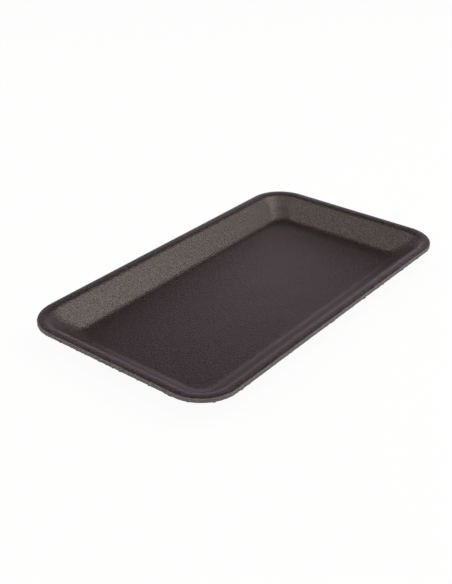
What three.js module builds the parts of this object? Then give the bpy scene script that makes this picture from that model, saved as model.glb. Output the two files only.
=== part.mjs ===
// Shallow foam meat tray, thermoformed from one sheet of expanded polystyrene and die-cut.
//
// The tray lies flat with its length along X and its width along Y. The origin is under the
// middle of the floor, so the flat underside lies in Z = 0 and the tray opens upwards.
// All sizes are in millimetres and all angles in degrees.

import * as THREE from 'three';
import { mergeVertices } from 'three/addons/utils/BufferGeometryUtils.js';

// Outline of the die-cut edge, seen from above
const trayLength = 209.6;
const trayWidth = 118;
const outerCornerRadius = 19.7;
const floorCornerRadius = 9;

// Upper skin of the section, from the cut edge inwards. The lip is a low crown, which falls a
// little to the cut edge and a little to the roll above the wall. The depth is from the top of the
// crown to the floor.
const lipReach = 3.4;
const lipEdgeAngle = 9;
const lipInnerAngle = 7;
const rollInsideRadius = 2.4;
const wallAngle = 41;
const footRadius = 7.5;
const trayDepth = 11.34;

// Foam left between the two skins. It is thinnest at the cut edge and grows over the lip.
const edgeThickness = 2;
const wallThickness = 2.6;
const floorThickness = 3;

// Fineness of the curves
const cornerSteps = 12;
const lipSteps = 4;
const rollSteps = 6;
const footSteps = 6;

const radians = THREE.MathUtils.degToRad;

// A station on the upper skin: its inset from the cut edge, its height above the floor's upper
// skin, the angle at which it falls towards the middle, and the foam below it.
function station(inset, height, fall, thickness) {
  return { inset, height, fall, thickness };
}

// Stations around an arc, where the fall turns evenly from one angle to another. A positive bend
// is a crest, with its centre in the foam, and a negative bend is a hollow.
function arcStations(start, endFall, radius, endThickness, steps) {
  const bend = Math.sign(endFall - start.fall) * radius;
  const stations = [];
  for (let i = 1; i <= steps; i += 1) {
    const share = i / steps;
    const fall = start.fall + (endFall - start.fall) * share;
    stations.push(station(
      start.inset + bend * (Math.sin(fall) - Math.sin(start.fall)),
      start.height + bend * (Math.cos(fall) - Math.cos(start.fall)),
      fall,
      start.thickness + (endThickness - start.thickness) * share,
    ));
  }
  return stations;
}

// The upper skin: a crowned lip, a roll, a straight sloping wall and a rounded foot that runs out
// into the flat floor.
function upperSkin() {
  const edgeFall = -radians(lipEdgeAngle);
  const innerFall = radians(lipInnerAngle);
  const slope = radians(wallAngle);
  const crownRadius = lipReach / (Math.sin(innerFall) - Math.sin(edgeFall));
  const edgeHeight = trayDepth - crownRadius * (1 - Math.cos(edgeFall));
  const edge = station(0, edgeHeight, edgeFall, edgeThickness);
  const lip = arcStations(edge, innerFall, crownRadius, wallThickness, lipSteps);
  const rollRadius = rollInsideRadius + wallThickness;
  const roll = arcStations(lip.at(-1), slope, rollRadius, wallThickness, rollSteps);
  const wallTop = roll.at(-1);
  const footHeight = footRadius * (1 - Math.cos(slope));
  const wallRun = (wallTop.height - footHeight) / Math.tan(slope);
  const wallFoot = station(wallTop.inset + wallRun, footHeight, slope, wallThickness);
  const foot = arcStations(wallFoot, 0, footRadius, floorThickness, footSteps);
  return [edge, ...lip, ...roll, wallFoot, ...foot];
}

// The point of the lower skin square below a station. The edge is cut upright, so the lower skin
// starts straight under it.
function lowerPoint(at, index) {
  const sideways = index === 0 ? 0 : at.thickness * Math.sin(at.fall);
  return new THREE.Vector2(at.inset - sideways, at.height - at.thickness * Math.cos(at.fall));
}

// A closed ring at one inset and height: a rectangle with rounded corners. The corners tighten
// with the inset until they reach the radius of the floor's corners.
function ring(inset, height) {
  const radius = Math.max(outerCornerRadius - inset, floorCornerRadius);
  const cornerX = trayLength / 2 - inset - radius;
  const cornerY = trayWidth / 2 - inset - radius;
  const corners = [[cornerX, cornerY], [-cornerX, cornerY], [-cornerX, -cornerY], [cornerX, -cornerY]];
  const points = [];
  corners.forEach(([x, y], quarter) => {
    for (let i = 0; i <= cornerSteps; i += 1) {
      const angle = (quarter + i / cornerSteps) * Math.PI / 2;
      points.push([x + radius * Math.cos(angle), y + radius * Math.sin(angle), height + floorThickness]);
    }
  });
  return points;
}

// One closed skin through a stack of rings, with a flat cap over the first and over the last.
function closedSkin(rings) {
  const count = rings[0].length;
  const first = rings[0][0][2];
  const last = rings[rings.length - 1][0][2];
  const positions = rings.flat(2);
  positions.push(0, 0, first, 0, 0, last);
  const firstCentre = rings.length * count;
  const lastCentre = firstCentre + 1;
  const index = [];
  for (let k = 0; k < count; k += 1) {
    const next = (k + 1) % count;
    for (let r = 0; r < rings.length - 1; r += 1) {
      const low = r * count;
      const high = low + count;
      index.push(low + k, low + next, high + next, low + k, high + next, high + k);
    }
    const top = (rings.length - 1) * count;
    index.push(firstCentre, next, k, lastCentre, top + k, top + next);
  }
  const geometry = new THREE.BufferGeometry();
  geometry.setAttribute('position', new THREE.Float32BufferAttribute(positions, 3));
  geometry.setIndex(index);
  const merged = mergeVertices(geometry);
  merged.computeVertexNormals();
  return merged;
}

// Rings run from the middle of the underside out to the cut edge and back in over the upper skin.
function trayGeometry() {
  const upper = upperSkin();
  const lowerRings = upper.map(lowerPoint).reverse().map((point) => ring(point.x, point.y));
  const upperRings = upper.map((at) => ring(at.inset, at.height));
  return closedSkin([...lowerRings, ...upperRings]);
}

const blackFoam = new THREE.MeshStandardMaterial({
  name: 'black_polystyrene_foam',
  color: 0x3d383a,
  roughness: 0.55,
  metalness: 0,
});

const foamTray = new THREE.Mesh(trayGeometry(), blackFoam);
foamTray.name = 'foam_tray';

const group = new THREE.Group();
group.add(foamTray);

export default group;
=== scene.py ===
"""Dresses the foam meat tray: its fine skin, its torn cut edge, its finishes and a plain studio."""

import logging
import math
from dataclasses import dataclass, field
from enum import Enum
from typing import Any

import bpy
import bmesh
import numpy as np
from mathutils import Matrix, Vector, noise


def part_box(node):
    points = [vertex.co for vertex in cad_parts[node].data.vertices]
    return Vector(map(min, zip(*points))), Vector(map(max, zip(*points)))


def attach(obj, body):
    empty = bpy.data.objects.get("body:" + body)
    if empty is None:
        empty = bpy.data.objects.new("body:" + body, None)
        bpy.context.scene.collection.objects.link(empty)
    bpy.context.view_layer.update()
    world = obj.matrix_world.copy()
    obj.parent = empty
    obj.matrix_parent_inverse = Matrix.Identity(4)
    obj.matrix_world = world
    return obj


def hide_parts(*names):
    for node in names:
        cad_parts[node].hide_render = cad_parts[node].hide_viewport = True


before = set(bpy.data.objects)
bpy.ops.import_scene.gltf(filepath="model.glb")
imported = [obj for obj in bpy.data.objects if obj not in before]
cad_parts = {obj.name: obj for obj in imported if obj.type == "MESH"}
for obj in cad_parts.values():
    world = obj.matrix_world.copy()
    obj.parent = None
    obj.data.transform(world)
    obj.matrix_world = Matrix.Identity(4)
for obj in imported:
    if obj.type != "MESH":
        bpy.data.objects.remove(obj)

LOG = logging.getLogger("foam_tray")
NODE = "foam_tray"
BODY = "root"

# Turns millimetres into the scene's metres
MM = 0.001

# Places of the share, the two colours and the result among the sockets of a colour mix
MIX_SHARE = 0
MIX_FIRST = 6
MIX_SECOND = 7
MIX_RESULT = 2


class Face(Enum):
    """The two kinds of surface on the tray, as places in its list of materials."""

    SKIN = 0
    CUT = 1


class Grid(Enum):
    """How finely a ring is divided: each step halves the number of its points."""

    FINE = 0
    MIDDLE = 1
    COARSE = 2


def linear_colour(code: str) -> tuple[float, float, float, float]:
    """Turns a colour as it is seen into the linear colour that a shader takes.

    Args:
        code: The sRGB colour as six hex digits.

    Returns:
        Linear red, green and blue, and an alpha of one.
    """
    channels = []
    for start in (0, 2, 4):
        value = int(code[start:start + 2], 16) / 255
        channels.append(value / 12.92 if value <= 0.04045 else ((value + 0.055) / 1.055) ** 2.4)
    return (*channels, 1.0)


def add_node(
    tree: bpy.types.NodeTree,
    kind: str,
    inputs: dict[str | int, Any] | None = None,
    **settings: Any,
) -> bpy.types.Node:
    """Adds one node to a tree.

    Args:
        tree: The node tree that takes it.
        kind: The node's type name.
        inputs: Values or sockets for its inputs, by name or place. A socket is linked.
        settings: Values for the node's own settings.

    Returns:
        The new node.
    """
    node = tree.nodes.new(kind)
    for name, value in settings.items():
        setattr(node, name, value)
    for key, value in (inputs or {}).items():
        if isinstance(value, bpy.types.NodeSocket):
            tree.links.new(value, node.inputs[key])
        else:
            node.inputs[key].default_value = value
    return node


def empty_material(name: str) -> tuple[bpy.types.Material, bpy.types.NodeTree]:
    """Makes a material that has no nodes yet.

    Args:
        name: Its name.

    Returns:
        The material and its node tree.
    """
    made = bpy.data.materials.new(name)
    made.use_nodes = True
    made.node_tree.nodes.clear()
    return made, made.node_tree


def add_object(name: str, data: bpy.types.ID) -> bpy.types.Object:
    """Adds an object to the scene.

    Args:
        name: Its name.
        data: Its mesh, light or camera.

    Returns:
        The new object.
    """
    made = bpy.data.objects.new(name, data)
    bpy.context.scene.collection.objects.link(made)
    return made


def heading(azimuth: float, elevation: float) -> Vector:
    """Works out a direction from the tray.

    Args:
        azimuth: Its angle from +X towards +Y, in degrees.
        elevation: Its angle above the ground, in degrees.

    Returns:
        The direction, with a length of one.
    """
    turn, rise = math.radians(azimuth), math.radians(elevation)
    return Vector((math.cos(turn) * math.cos(rise), math.sin(turn) * math.cos(rise), math.sin(rise)))


@dataclass(frozen=True)
class Station:
    """A place on the section's upper skin, in millimetres.

    The inset is measured from the cut edge, the height from the floor's upper skin, and the fall
    is the slope towards the middle in radians. The stretch is how far the foam was drawn there,
    from 0 on the floor to 1 on the walls.
    """

    inset: float
    height: float
    fall: float
    thickness: float
    stretch: float
    grid: Grid


@dataclass(frozen=True)
class TraySection:
    """The tray's section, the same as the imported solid's but with finer curves. Sizes in millimetres."""

    lip_reach: float = 3.4
    lip_edge_angle: float = 9.0
    lip_inner_angle: float = 7.0
    roll_inside_radius: float = 2.4
    wall_angle: float = 41.0
    foot_radius: float = 7.5
    depth: float = 11.34
    edge_thickness: float = 2.0
    wall_thickness: float = 2.6
    floor_thickness: float = 3.0
    edge_round: float = 0.12
    lip_stretch: float = 0.35
    lip_steps: int = 6
    roll_steps: int = 10
    wall_steps: int = 9
    foot_steps: int = 9

    def arc(
        self, start: Station, end_fall: float, radius: float, end: Station, steps: int
    ) -> list[Station]:
        """Stations round an arc, whose slope turns evenly from one fall to another.

        Args:
            start: The station that the arc starts from.
            end_fall: The fall at its end, in radians.
            radius: Its radius on the upper skin.
            end: A station with the thickness, stretch and grid that the arc ends with.
            steps: The number of stations to make.

        Returns:
            The stations after the start, with the end last.
        """
        bend = math.copysign(radius, end_fall - start.fall)
        made = []
        for step in range(1, steps + 1):
            share = step / steps
            fall = start.fall + (end_fall - start.fall) * share
            made.append(Station(
                inset=start.inset + bend * (math.sin(fall) - math.sin(start.fall)),
                height=start.height + bend * (math.cos(fall) - math.cos(start.fall)),
                fall=fall,
                thickness=start.thickness + (end.thickness - start.thickness) * share,
                stretch=start.stretch + (end.stretch - start.stretch) * share,
                grid=end.grid,
            ))
        return made

    def straight(self, start: Station, end: Station, steps: int) -> list[Station]:
        """Evenly spaced stations on a straight run.

        Args:
            start: The station that the run starts from.
            end: The station that it ends with.
            steps: The number of stations to make.

        Returns:
            The stations after the start, with the end last.
        """
        made = []
        for step in range(1, steps + 1):
            share = step / steps
            mixed = {
                name: getattr(start, name) + (getattr(end, name) - getattr(start, name)) * share
                for name in ("inset", "height", "thickness", "stretch")
            }
            made.append(Station(fall=end.fall, grid=end.grid, **mixed))
        return made

    def upper_skin(self) -> list[Station]:
        """The whole upper skin: the lip, the roll, the straight wall and its rounded foot.

        Returns:
            The stations from the cut edge to the rim of the flat floor.
        """
        edge_fall = -math.radians(self.lip_edge_angle)
        inner_fall = math.radians(self.lip_inner_angle)
        slope = math.radians(self.wall_angle)
        crown_radius = self.lip_reach / (math.sin(inner_fall) - math.sin(edge_fall))
        edge_height = self.depth - crown_radius * (1 - math.cos(edge_fall))
        edge = Station(0, edge_height, edge_fall, self.edge_thickness, self.lip_stretch, Grid.FINE)
        lip_end = Station(0, 0, inner_fall, self.wall_thickness, self.lip_stretch, Grid.FINE)
        lip = self.arc(edge, inner_fall, crown_radius, lip_end, self.lip_steps)
        roll_radius = self.roll_inside_radius + self.wall_thickness
        wall = Station(0, 0, slope, self.wall_thickness, 1.0, Grid.MIDDLE)
        roll = self.arc(lip[-1], slope, roll_radius, wall, self.roll_steps)
        foot_height = self.foot_radius * (1 - math.cos(slope))
        wall_run = (roll[-1].height - foot_height) / math.tan(slope)
        foot_top = Station(
            roll[-1].inset + wall_run, foot_height, slope, self.wall_thickness, 1.0, Grid.MIDDLE
        )
        sides = self.straight(roll[-1], foot_top, self.wall_steps)
        floor = Station(0, 0, 0, self.floor_thickness, 0.0, Grid.MIDDLE)
        foot = self.arc(foot_top, 0.0, self.foot_radius, floor, self.foot_steps)
        return [edge, *lip, *roll, *sides, *foot]


@dataclass(frozen=True)
class Outline:
    """The tray's outline from above, as rounded rectangles at any inset. Sizes in millimetres."""

    length: float
    width: float
    corner_radius: float = 19.7
    floor_corner_radius: float = 9.0
    corner_steps: int = 64
    long_steps: int = 336
    short_steps: int = 160

    def steps(self, grid: Grid) -> tuple[int, int, int]:
        """Steps in a corner, along a long side and along a short side of a ring."""
        share = 2 ** grid.value
        return self.corner_steps // share, self.long_steps // share, self.short_steps // share

    def ring(self, inset: float, height: float, grid: Grid) -> np.ndarray:
        """The points of one ring, anticlockwise from the start of the corner at +X +Y.

        Args:
            inset: How far the ring lies inside the cut edge.
            height: Its height above the surface that the tray stands on.
            grid: How finely it is divided.

        Returns:
            An array of points, one row each.
        """
        radius = max(self.corner_radius - inset, self.floor_corner_radius)
        reach_x = self.length / 2 - inset - radius
        reach_y = self.width / 2 - inset - radius
        corner_steps, long_steps, short_steps = self.steps(grid)
        centres = [(reach_x, reach_y), (-reach_x, reach_y), (-reach_x, -reach_y), (reach_x, -reach_y)]
        points = []
        for quarter, (x, y) in enumerate(centres):
            for step in range(corner_steps):
                angle = (quarter + step / corner_steps) * math.pi / 2
                points.append((x + radius * math.cos(angle), y + radius * math.sin(angle), height))
            turn = (quarter + 1) * math.pi / 2
            start = np.array((x + radius * math.cos(turn), y + radius * math.sin(turn)))
            next_x, next_y = centres[(quarter + 1) % 4]
            end = np.array((next_x + radius * math.cos(turn), next_y + radius * math.sin(turn)))
            count = long_steps if quarter % 2 == 0 else short_steps
            for step in range(count):
                point = start + (end - start) * step / count
                points.append((point[0], point[1], height))
        return np.array(points)

    def outward(self, grid: Grid) -> np.ndarray:
        """The direction straight out of the outline at each point of a ring.

        Args:
            grid: How finely the ring is divided.

        Returns:
            An array of directions in the ring's order, one row each.
        """
        corner_steps, long_steps, short_steps = self.steps(grid)
        directions = []
        for quarter in range(4):
            angles = [(quarter + step / corner_steps) * math.pi / 2 for step in range(corner_steps)]
            count = long_steps if quarter % 2 == 0 else short_steps
            angles += [(quarter + 1) * math.pi / 2] * count
            directions += [(math.cos(angle), math.sin(angle), 0.0) for angle in angles]
        return np.array(directions)


@dataclass(frozen=True)
class TornEdge:
    """The upright cut face, where the die tore the foam's cells open. Sizes in millimetres.

    Torn cells leave a pitted face, and at its lower skin small shreds hang from it. The burr moves
    the whole face out by that many pit depths, so that the pits do not cut under the skin.
    """

    rows: int = 7
    pit_size: float = 0.9
    pit_depth: float = 0.16
    burr: float = 1.0
    shred_spacing: float = 7.0
    shred_half_width: tuple[float, float] = (0.3, 1.0)
    shred_reach: tuple[float, float] = (0.05, 0.3)
    shred_drop: tuple[float, float] = (0.1, 0.4)
    shred_top: float = 0.55
    seed: int = 11

    def shreds(self, along: np.ndarray, length: float) -> tuple[np.ndarray, np.ndarray]:
        """How far the shreds stand out and hang down along the edge.

        Args:
            along: The distance of each point along the edge.
            length: The length of the whole edge.

        Returns:
            The reach outwards and the drop at each point.
        """
        draw = np.random.default_rng(self.seed)
        reach = np.zeros_like(along)
        drop = np.zeros_like(along)
        for _ in range(int(length / self.shred_spacing)):
            centre = draw.uniform(0, length)
            half_width = draw.uniform(*self.shred_half_width)
            distance = np.abs((along - centre + length / 2) % length - length / 2)
            bump = np.clip(1 - (distance / half_width) ** 2, 0, 1)
            reach = np.maximum(reach, bump * draw.uniform(*self.shred_reach))
            drop = np.maximum(drop, bump * draw.uniform(*self.shred_drop))
        return reach, drop

    def rings(self, top: np.ndarray, thickness: float, outward: np.ndarray) -> list[np.ndarray]:
        """The rings of the cut face from just below the upper skin to the lower skin.

        Args:
            top: The ring of the upper skin at the cut.
            thickness: The foam's thickness there.
            outward: The direction out of the edge at each point.

        Returns:
            The rings, from the top down.
        """
        gaps = np.linalg.norm(np.roll(top, -1, axis=0) - top, axis=1)
        along = np.concatenate(([0.0], np.cumsum(gaps)[:-1]))
        reach, drop = self.shreds(along, float(gaps.sum()))
        made = []
        for row in range(1, self.rows + 1):
            share = row / self.rows
            points = top.copy()
            points[:, 2] -= thickness * share
            pits = np.array([noise.noise(Vector(point / self.pit_size)) for point in points])
            hang = max(0.0, (share - self.shred_top) / (1 - self.shred_top))
            push = self.pit_depth * (pits + self.burr) + reach * hang
            points += outward * push[:, None]
            points[:, 2] -= drop * hang
            made.append(points)
        return made


@dataclass(frozen=True)
class Unevenness:
    """The slight wander of a tray that cooled after forming. Sizes in millimetres."""

    lip_wave: float = 38.0
    lip_height: float = 0.05
    floor_wave: float = 16.0
    floor_height: float = 0.05

    def lift(self, point: Vector, share: float, upper: bool) -> float:
        """How far a point is lifted.

        Args:
            point: The point on the tray.
            share: Its height as a share of the tray's height.
            upper: Whether it is on the upper skin.

        Returns:
            The lift, which is nothing on the underside of the floor.
        """
        flat = Vector((point.x, point.y, 0.0))
        lip = noise.noise(flat / self.lip_wave) * self.lip_height * share * share
        floor = noise.noise(flat / self.floor_wave) * self.floor_height if upper else 0.0
        return lip + floor * (1 - share)


@dataclass
class SkinMesh:
    """A mesh that is put together ring by ring. Sizes in millimetres."""

    points: list[tuple[float, float, float]] = field(default_factory=list)
    stretch: list[float] = field(default_factory=list)
    upper: list[bool] = field(default_factory=list)
    faces: list[tuple[int, ...]] = field(default_factory=list)
    kinds: list[Face] = field(default_factory=list)

    def add_points(self, points: np.ndarray, stretch: float, upper: bool) -> list[int]:
        """Adds points.

        Args:
            points: The points, one row each.
            stretch: How far the foam is drawn there.
            upper: Whether they are on the upper skin.

        Returns:
            The places of the new points in the mesh.
        """
        first = len(self.points)
        self.points.extend(map(tuple, points.tolist()))
        self.stretch.extend([stretch] * len(points))
        self.upper.extend([upper] * len(points))
        return list(range(first, first + len(points)))

    def add_face(self, corners: tuple[int, ...], kind: Face) -> None:
        """Adds one face of a kind."""
        self.faces.append(corners)
        self.kinds.append(kind)

    def bridge(self, outer: list[int], inner: list[int], kind: Face = Face.SKIN) -> None:
        """Joins two rings, which have as many points, or one of them twice as many.

        Args:
            outer: The first ring.
            inner: The second ring.
            kind: The kind of the faces between them.
        """
        if len(outer) < len(inner):
            outer, inner = inner, outer
        count = len(inner)
        for k in range(count):
            after = (k + 1) % count
            if len(outer) == count:
                self.add_face((outer[k], outer[after], inner[after], inner[k]), kind)
                continue
            first, middle, last = outer[2 * k], outer[2 * k + 1], outer[(2 * k + 2) % len(outer)]
            self.add_face((first, middle, inner[k]), kind)
            self.add_face((middle, last, inner[after]), kind)
            self.add_face((middle, inner[after], inner[k]), kind)

    def fill(self, ring: list[int], outline: Outline, grid: Grid, upper: bool) -> None:
        """Fills a ring with an even grid of faces, blended between its four sides.

        Args:
            ring: The ring's points in the mesh.
            outline: The outline that the ring belongs to.
            grid: How finely the ring is divided.
            upper: Whether it is on the upper skin.
        """
        corner, long_steps, short_steps = outline.steps(grid)
        across, down = long_steps + corner, short_steps + corner
        start = corner // 2
        turned = ring[start:] + ring[:start + 1]
        top = turned[:across + 1]
        left = turned[across:across + down + 1]
        bottom = turned[across + down:2 * across + down + 1][::-1]
        right = turned[2 * across + down:][::-1]
        at = np.array(self.points)
        rows = [top]
        for j in range(1, down):
            v = j / down
            inside = []
            for i in range(1, across):
                u = i / across
                sides = (1 - v) * at[top[i]] + v * at[bottom[i]] + (1 - u) * at[right[j]] + u * at[left[j]]
                ends = (
                    (1 - u) * (1 - v) * at[top[0]] + u * (1 - v) * at[top[-1]]
                    + (1 - u) * v * at[bottom[0]] + u * v * at[bottom[-1]]
                )
                inside.append(sides - ends)
            made = self.add_points(np.array(inside), 0.0, upper)
            rows.append([right[j], *made, left[j]])
        rows.append(bottom)
        for near, far in zip(rows, rows[1:]):
            for i in range(across):
                self.add_face((near[i], near[i + 1], far[i + 1], far[i]), Face.SKIN)

    def wander(self, uneven: Unevenness, height: float) -> None:
        """Moves every point up or down by the tray's unevenness.

        Args:
            uneven: The unevenness.
            height: The tray's height.
        """
        for place, (x, y, z) in enumerate(self.points):
            lift = uneven.lift(Vector((x, y, z)), max(0.0, z) / height, self.upper[place])
            self.points[place] = (x, y, z + lift)

    def build(self, name: str, materials: list[bpy.types.Material]) -> bpy.types.Object:
        """Makes the Blender object.

        Args:
            name: Its name.
            materials: Its materials, in the order of the kinds of face.

        Returns:
            The object, with smooth faces that point outwards.
        """
        mesh = bpy.data.meshes.new(name)
        mesh.from_pydata([tuple(value * MM for value in point) for point in self.points], [], self.faces)
        mesh.polygons.foreach_set("material_index", [kind.value for kind in self.kinds])
        mesh.polygons.foreach_set("use_smooth", [True] * len(self.faces))
        stretch = mesh.attributes.new("stretch", "FLOAT", "POINT")
        stretch.data.foreach_set("value", self.stretch)
        for material in materials:
            mesh.materials.append(material)
        work = bmesh.new()
        work.from_mesh(mesh)
        bmesh.ops.recalc_face_normals(work, faces=work.faces)
        work.to_mesh(mesh)
        work.free()
        return add_object(name, mesh)


@dataclass(frozen=True)
class FoamSkin:
    """Thermoformed expanded polystyrene foam, dyed black in the melt.

    Polystyrene is clear and hard, with an IOR of 1.59, so the pressed skin over the foam has a
    satin gloss. The closed cells below show through it as a fine grain of low domes. The sheet was
    drawn over the walls, which makes the grain deeper and the gloss duller there.

    Real cells are about 0.3 mm wide, and a pixel of the picture is about half a millimetre, so the
    grain is drawn as coarse as it needs to show. Sizes in millimetres.
    """

    name: str = "thermoformed_expanded_polystyrene_skin"
    deep_colour: str = "130f0f"
    pale_colour: str = "3a3233"
    gloss_tint: str = "fff6f4"
    ior: float = 1.59
    floor_roughness: float = 0.28
    wall_roughness: float = 0.37
    cell_size: float = 0.85
    fine_cell_size: float = 0.45
    fine_detail: float = 1.0
    floor_relief: float = 0.090
    wall_relief: float = 0.120
    deep_grain: float = 0.6
    pale_grain: float = 1.5

    def material(self) -> bpy.types.Material:
        """Makes the skin's material.

        Returns:
            The material, which is paler on the crests of the grain than between them.
        """
        made, tree = empty_material(self.name)
        place = add_node(tree, "ShaderNodeTexCoord").outputs["Object"]
        drawn = add_node(tree, "ShaderNodeAttribute", attribute_name="stretch").outputs["Fac"]
        cells = add_node(
            tree, "ShaderNodeTexVoronoi",
            {"Vector": place, "Scale": 1 / (self.cell_size * MM)}, feature="F1",
        )
        fine = add_node(
            tree, "ShaderNodeTexNoise",
            {
                "Vector": place,
                "Scale": 1 / (self.fine_cell_size * MM),
                "Detail": self.fine_detail,
            },
        )
        domes = add_node(
            tree, "ShaderNodeMath",
            {0: 1.0, 1: cells.outputs["Distance"]}, operation="SUBTRACT",
        )
        grain = add_node(
            tree, "ShaderNodeMath",
            {0: domes.outputs[0], 1: fine.outputs["Fac"]}, operation="ADD",
        )
        relief = add_node(
            tree, "ShaderNodeMapRange",
            {
                "Value": drawn,
                "To Min": self.floor_relief * MM,
                "To Max": self.wall_relief * MM,
            },
        )
        height = add_node(
            tree, "ShaderNodeMath",
            {0: grain.outputs[0], 1: relief.outputs["Result"]}, operation="MULTIPLY",
        )
        bump = add_node(
            tree, "ShaderNodeBump",
            {"Strength": 1.0, "Distance": 1.0, "Height": height.outputs[0]},
        )
        tone = add_node(
            tree, "ShaderNodeMapRange",
            {"Value": grain.outputs[0], "From Min": self.deep_grain, "From Max": self.pale_grain},
        )
        colour = add_node(
            tree, "ShaderNodeMix",
            {
                MIX_SHARE: tone.outputs["Result"],
                MIX_FIRST: linear_colour(self.deep_colour),
                MIX_SECOND: linear_colour(self.pale_colour),
            },
            data_type="RGBA",
        )
        dullness = add_node(
            tree, "ShaderNodeMapRange",
            {"Value": drawn, "To Min": self.floor_roughness, "To Max": self.wall_roughness},
        )
        shader = add_node(
            tree, "ShaderNodeBsdfPrincipled",
            {
                "Base Color": colour.outputs[MIX_RESULT],
                "Roughness": dullness.outputs["Result"],
                "IOR": self.ior,
                "Specular Tint": linear_colour(self.gloss_tint),
                "Normal": bump.outputs["Normal"],
            },
        )
        add_node(tree, "ShaderNodeOutputMaterial", {"Surface": shader.outputs["BSDF"]})
        return made


@dataclass(frozen=True)
class CutFoam:
    """The same foam where the die cut it.

    The cells lie open here, so the face has hardly any gloss and is paler and greyer than the skin,
    and painted shade darkens the pits between torn walls. The cells are drawn coarser than real ones, as on
    the skin.
    Sizes in millimetres.
    """

    name: str = "die_cut_expanded_polystyrene_cells"
    painted_pit_shade: str = "3e3a3c"
    wall_colour: str = "8e898b"
    ior: float = 1.59
    roughness: float = 0.85
    gloss: float = 0.2
    cell_size: float = 0.6
    relief: float = 0.14

    def material(self) -> bpy.types.Material:
        """Makes the cut face's material.

        Returns:
            The material, which is darkest in the middle of each open cell.
        """
        made, tree = empty_material(self.name)
        place = add_node(tree, "ShaderNodeTexCoord").outputs["Object"]
        cells = add_node(
            tree, "ShaderNodeTexVoronoi",
            {"Vector": place, "Scale": 1 / (self.cell_size * MM)}, feature="F1",
        )
        height = add_node(
            tree, "ShaderNodeMath",
            {0: cells.outputs["Distance"], 1: self.relief * MM}, operation="MULTIPLY",
        )
        bump = add_node(
            tree, "ShaderNodeBump",
            {"Strength": 1.0, "Distance": 1.0, "Height": height.outputs[0]},
        )
        # Painted shade: the colour runs from the pale torn walls to a dark shade in the middle of each open
        # cell, where the pit lies deepest
        colour = add_node(
            tree, "ShaderNodeMix",
            {
                MIX_SHARE: cells.outputs["Distance"],
                MIX_FIRST: linear_colour(self.painted_pit_shade),
                MIX_SECOND: linear_colour(self.wall_colour),
            },
            data_type="RGBA",
        )
        shader = add_node(
            tree, "ShaderNodeBsdfPrincipled",
            {
                "Base Color": colour.outputs[MIX_RESULT],
                "Roughness": self.roughness,
                "IOR": self.ior,
                "Specular IOR Level": self.gloss,
                "Normal": bump.outputs["Normal"],
            },
        )
        add_node(tree, "ShaderNodeOutputMaterial", {"Surface": shader.outputs["BSDF"]})
        return made


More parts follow.
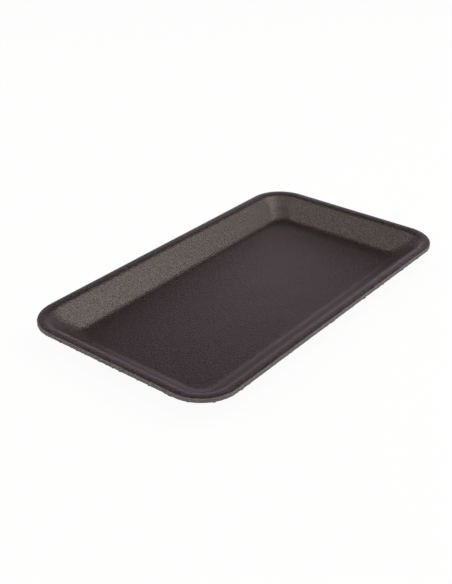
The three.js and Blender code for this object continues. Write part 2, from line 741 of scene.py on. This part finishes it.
@dataclass(frozen=True)
class FoamTray:
    """The tray itself: one closed skin of foam with a torn edge.

    The floor margin is how far inside the walls' foot the even grid of the floor starts, in
    millimetres.
    """

    outline: Outline
    section: TraySection = TraySection()
    edge: TornEdge = TornEdge()
    uneven: Unevenness = Unevenness()
    skin: FoamSkin = FoamSkin()
    cut: CutFoam = CutFoam()
    floor_margin: float = 1.0

    def upper_rings(self, mesh: SkinMesh) -> list[list[int]]:
        """Adds the rings of the upper skin.

        Args:
            mesh: The mesh that takes them.

        Returns:
            The rings, from the cut edge inwards.
        """
        rings = []
        for place, at in enumerate(self.section.upper_skin()):
            inset, height = at.inset, at.height + self.section.floor_thickness
            if place == 0:
                inset = self.section.edge_round
            points = self.outline.ring(inset, height, at.grid)
            rings.append(mesh.add_points(points, at.stretch, True))
        return rings

    def lower_rings(self, mesh: SkinMesh) -> list[list[int]]:
        """Adds the rings of the lower skin.

        Args:
            mesh: The mesh that takes them.

        Returns:
            The rings, from just inside the cut edge inwards.
        """
        rings = []
        for at in self.section.upper_skin()[1:]:
            inset = at.inset - at.thickness * math.sin(at.fall)
            height = at.height + self.section.floor_thickness - at.thickness * math.cos(at.fall)
            points = self.outline.ring(inset, height, at.grid)
            rings.append(mesh.add_points(points, at.stretch, False))
        return rings

    def cut_rings(self, mesh: SkinMesh) -> list[list[int]]:
        """Adds the rings of the cut face.

        Args:
            mesh: The mesh that takes them.

        Returns:
            The rings, from its rounded top down to the lower skin.
        """
        section = self.section
        edge = section.upper_skin()[0]
        top_height = edge.height + section.floor_thickness - section.edge_round
        top = self.outline.ring(0.0, top_height, Grid.FINE)
        rings = [mesh.add_points(top, edge.stretch, True)]
        below = section.edge_thickness - section.edge_round
        for points in self.edge.rings(top, below, self.outline.outward(Grid.FINE)):
            rings.append(mesh.add_points(points, edge.stretch, False))
        return rings

    def add_walls(self, mesh: SkinMesh) -> tuple[list[int], list[int]]:
        """Adds all that stands round the floor: both skins and the cut face between them.

        Args:
            mesh: The mesh that takes it.

        Returns:
            The innermost ring of the upper skin and that of the lower skin.
        """
        upper = self.upper_rings(mesh)
        cut = self.cut_rings(mesh)
        lower = self.lower_rings(mesh)
        for outer, inner in zip(upper, upper[1:]):
            mesh.bridge(outer, inner)
        mesh.bridge(cut[0], upper[0], Face.CUT)
        for high, low in zip(cut, cut[1:]):
            mesh.bridge(high, low, Face.CUT)
        mesh.bridge(cut[-1], lower[0])
        for outer, inner in zip(lower, lower[1:]):
            mesh.bridge(outer, inner)
        return upper[-1], lower[-1]

    def add_floor(self, mesh: SkinMesh, foot: list[int], upper: bool) -> None:
        """Adds one side of the flat floor.

        Args:
            mesh: The mesh that takes it.
            foot: The ring that it starts from.
            upper: Whether it is on the upper skin.
        """
        inset = self.section.upper_skin()[-1].inset + self.floor_margin
        height = self.section.floor_thickness if upper else 0.0
        rim = mesh.add_points(self.outline.ring(inset, height, Grid.COARSE), 0.0, upper)
        mesh.bridge(foot, rim)
        mesh.fill(rim, self.outline, Grid.COARSE, upper)

    def build(self) -> bpy.types.Object:
        """Builds and dresses the tray.

        Returns:
            The tray's object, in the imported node's place.
        """
        mesh = SkinMesh()
        upper_foot, lower_foot = self.add_walls(mesh)
        self.add_floor(mesh, upper_foot, True)
        self.add_floor(mesh, lower_foot, False)
        mesh.wander(self.uneven, self.section.depth + self.section.floor_thickness)
        piece = mesh.build("foam_tray_skin", [self.skin.material(), self.cut.material()])
        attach(piece, BODY)
        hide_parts(NODE)
        LOG.info("foam tray: %d points, %d faces", len(mesh.points), len(mesh.faces))
        return piece


@dataclass(frozen=True)
class SoftBox:
    """A square soft light that faces the tray.

    Its azimuth and elevation say where it stands, in degrees. Its distance and size are in metres,
    and its power is in watts.
    """

    name: str
    azimuth: float
    elevation: float
    distance: float
    size: float
    power: float
    colour: str

    def build(self) -> bpy.types.Object:
        """Adds the light.

        Returns:
            The light's object.
        """
        data = bpy.data.lights.new(self.name, "AREA")
        data.size = self.size
        data.energy = self.power
        data.color = linear_colour(self.colour)[:3]
        lamp = add_object(self.name, data)
        away = heading(self.azimuth, self.elevation)
        lamp.location = away * self.distance
        lamp.rotation_mode = "QUATERNION"
        lamp.rotation_quaternion = away.to_track_quat("Z", "Y")
        return lamp


@dataclass(frozen=True)
class Opening:
    """A round opening in the tent of light. All its values are angles in degrees.

    It is clear round one direction out to its reach, and the tent is whole from its rim outwards.
    """

    azimuth: float
    elevation: float
    reach: float
    rim: float

    def tent_share(self, tree: bpy.types.NodeTree, direction: bpy.types.NodeSocket) -> bpy.types.NodeSocket:
        """Adds the nodes that tell how much of the tent stands in a direction.

        Args:
            tree: The world's node tree.
            direction: The direction that is looked in.

        Returns:
            A socket with 0 in the opening and 1 from its rim outwards.
        """
        nearness = add_node(
            tree, "ShaderNodeVectorMath",
            {0: direction, 1: heading(self.azimuth, self.elevation)}, operation="DOT_PRODUCT",
        )
        share = add_node(
            tree, "ShaderNodeMapRange",
            {
                "Value": nearness.outputs["Value"],
                "From Min": math.cos(math.radians(self.reach)),
                "From Max": math.cos(math.radians(self.rim)),
            },
            interpolation_type="SMOOTHSTEP",
        )
        return share.outputs["Result"]


@dataclass(frozen=True)
class WhitePaper:
    """Uncoated white paper, which covers the studio's ground.

    It has no gloss. To the camera and in reflections most of its light is an even white glow, and
    the rest of it takes the tray's soft shadow.
    """

    name: str = "white_paper_sweep"
    colour: str = "f8f8f8"
    glow_colour: str = "ffffff"
    glow_share: float = 0.95

    def material(self) -> bpy.types.Material:
        """Makes the paper's material.

        Returns:
            The material, which is plain paper to every ray but the camera's and a reflection's.
        """
        made, tree = empty_material(self.name)
        paper = add_node(tree, "ShaderNodeBsdfDiffuse", {"Color": linear_colour(self.colour)})
        glow = add_node(tree, "ShaderNodeEmission", {"Color": linear_colour(self.glow_colour)})
        rays = add_node(tree, "ShaderNodeLightPath")
        seen = add_node(
            tree, "ShaderNodeMath",
            {0: rays.outputs["Is Camera Ray"], 1: rays.outputs["Is Glossy Ray"]}, operation="MAXIMUM",
        )
        share = add_node(
            tree, "ShaderNodeMath", {0: seen.outputs[0], 1: self.glow_share}, operation="MULTIPLY",
        )
        mixed = add_node(
            tree, "ShaderNodeMixShader",
            {0: share.outputs[0], 1: paper.outputs["BSDF"], 2: glow.outputs["Emission"]},
        )
        add_node(tree, "ShaderNodeOutputMaterial", {"Surface": mixed.outputs["Shader"]})
        return made


@dataclass(frozen=True)
class Studio:
    """A white ground and softboxes under a tent of light, with two openings.

    One opening shows the dim room beyond the tray, and the other is the dark one that the
    photographer stands in. The room's stops are elevations in degrees, each with the colour there.
    The ground's size is in metres.

    The key and the side softbox give the far walls their sheen, the key the long one and the side
    one the short one. The top softbox fills the corner between them, and the back panel shines
    faintly on the floor.
    """

    ground_size: float = 12.0
    paper: WhitePaper = WhitePaper()
    room_stops: tuple[tuple[float, str], ...] = (
        (10.0, "fff0fc"),
        (18.0, "ac99ae"),
        (27.5, "9c949a"),
        (33.0, "3e3a3d"),
        (45.0, "302c2d"),
    )
    room: Opening = Opening(azimuth=45.0, elevation=30.5, reach=50.0, rim=68.0)
    photographer: Opening = Opening(azimuth=-141.5, elevation=8.0, reach=35.0, rim=65.0)
    photographer_colour: str = "1e1c1d"
    tent_colour: str = "fffaf5"
    tent_level: float = 0.92
    lights: tuple[SoftBox, ...] = (
        SoftBox(
            "key_softbox", azimuth=-45.0, elevation=52.5, distance=1.1,
            size=0.6, power=5.4, colour="fff6ee",
        ),
        SoftBox(
            "side_softbox", azimuth=109.0, elevation=46.0, distance=1.2,
            size=0.4, power=2.4, colour="fff6ee",
        ),
        SoftBox(
            "top_softbox", azimuth=-150.0, elevation=69.0, distance=1.2,
            size=0.55, power=2.2, colour="fff8f2",
        ),
        SoftBox(
            "back_panel", azimuth=36.5, elevation=25.5, distance=1.2,
            size=0.2, power=0.085, colour="fffaff",
        ),
    )

    def ground(self) -> bpy.types.Object:
        """Adds the white ground that the tray stands on.

        Returns:
            The ground's object.
        """
        mesh = bpy.data.meshes.new("ground")
        half = self.ground_size / 2
        corners = [(-half, -half, 0), (half, -half, 0), (half, half, 0), (-half, half, 0)]
        mesh.from_pydata(corners, [], [(0, 1, 2, 3)])
        mesh.materials.append(self.paper.material())
        ground = add_object("ground", mesh)
        return ground

    def dim_room(self, tree: bpy.types.NodeTree, direction: bpy.types.NodeSocket) -> bpy.types.NodeSocket:
        """Adds the nodes that give the dim room, which is lightest low down.

        Args:
            tree: The world's node tree.
            direction: The direction that is looked in.

        Returns:
            A socket with the room's colour in that direction.
        """
        rise = add_node(tree, "ShaderNodeSeparateXYZ", {"Vector": direction}).outputs["Z"]
        room = add_node(tree, "ShaderNodeValToRGB", {"Fac": rise})
        ramp = room.color_ramp
        while len(ramp.elements) < len(self.room_stops):
            ramp.elements.new(1.0)
        for stop, (elevation, code) in zip(ramp.elements, self.room_stops):
            stop.position = math.sin(math.radians(elevation))
            stop.color = linear_colour(code)
        return room.outputs["Color"]

    def sky(self) -> None:
        """Sets the sky: the tent, with the room and the photographer's place in its openings.

        The camera itself sees plain white there, as on the ground.
        """
        world = bpy.data.worlds.new("studio_sky")
        bpy.context.scene.world = world
        world.use_nodes = True
        tree = world.node_tree
        tree.nodes.clear()
        direction = add_node(tree, "ShaderNodeTexCoord").outputs["Generated"]
        tent_light = [channel * self.tent_level for channel in linear_colour(self.tent_colour)]
        beyond = add_node(
            tree, "ShaderNodeMix",
            {
                MIX_SHARE: self.room.tent_share(tree, direction),
                MIX_FIRST: self.dim_room(tree, direction),
                MIX_SECOND: tent_light,
            },
            data_type="RGBA",
        )
        around = add_node(
            tree, "ShaderNodeMix",
            {
                MIX_SHARE: self.photographer.tent_share(tree, direction),
                MIX_FIRST: linear_colour(self.photographer_colour),
                MIX_SECOND: beyond.outputs[MIX_RESULT],
            },
            data_type="RGBA",
        )
        rays = add_node(tree, "ShaderNodeLightPath")
        colour = add_node(
            tree, "ShaderNodeMix",
            {
                MIX_SHARE: rays.outputs["Is Camera Ray"],
                MIX_FIRST: around.outputs[MIX_RESULT],
                MIX_SECOND: linear_colour(self.paper.glow_colour),
            },
            data_type="RGBA",
        )
        shader = add_node(
            tree, "ShaderNodeBackground", {"Color": colour.outputs[MIX_RESULT], "Strength": 1.0},
        )
        add_node(tree, "ShaderNodeOutputWorld", {"Surface": shader.outputs["Background"]})

    def build(self) -> None:
        """Builds the whole studio and sets how colours are shown."""
        bpy.context.scene.view_settings.view_transform = "Standard"
        self.ground()
        self.sky()
        for light in self.lights:
            light.build()
        LOG.info("studio: ground, sky and %d lights", len(self.lights))


@dataclass(frozen=True)
class PhotoCamera:
    """The camera at the photograph's viewing angle, fitted to the tray's outline there.

    Its azimuth and elevation say where it stands from its target, in degrees. The distance and the
    target are in metres, the focal length and the picture's height in the photograph's pixels, and
    the sensor in millimetres.
    """

    azimuth: float = -141.531
    elevation: float = 29.424
    distance: float = 0.47942
    target: tuple[float, float, float] = (-0.02156, -0.0023, 0.01419)
    focal_pixels: float = 940.2
    picture_height: float = 584.0
    sensor: float = 36.0

    def build(self) -> bpy.types.Object:
        """Adds the camera and makes it the scene's.

        Returns:
            The camera's object.
        """
        data = bpy.data.cameras.new("photo_camera")
        data.sensor_width = self.sensor
        data.lens = self.focal_pixels * self.sensor / self.picture_height
        camera = add_object("photo_camera", data)
        back = heading(self.azimuth, self.elevation)
        spin = back.to_track_quat("Z", "Y").to_matrix().to_4x4()
        camera.matrix_world = Matrix.Translation(Vector(self.target) + back * self.distance) @ spin
        bpy.context.scene.camera = camera
        return camera


def main() -> None:
    """Builds the camera, the studio and the tray."""
    logging.basicConfig(level=logging.INFO, format="%(name)s: %(message)s")
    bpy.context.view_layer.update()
    low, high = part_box(NODE)
    PhotoCamera().build()
    Studio().build()
    outline = Outline(length=(high[0] - low[0]) / MM, width=(high[1] - low[1]) / MM)
    FoamTray(outline).build()


if __name__ == "__main__":
    main()
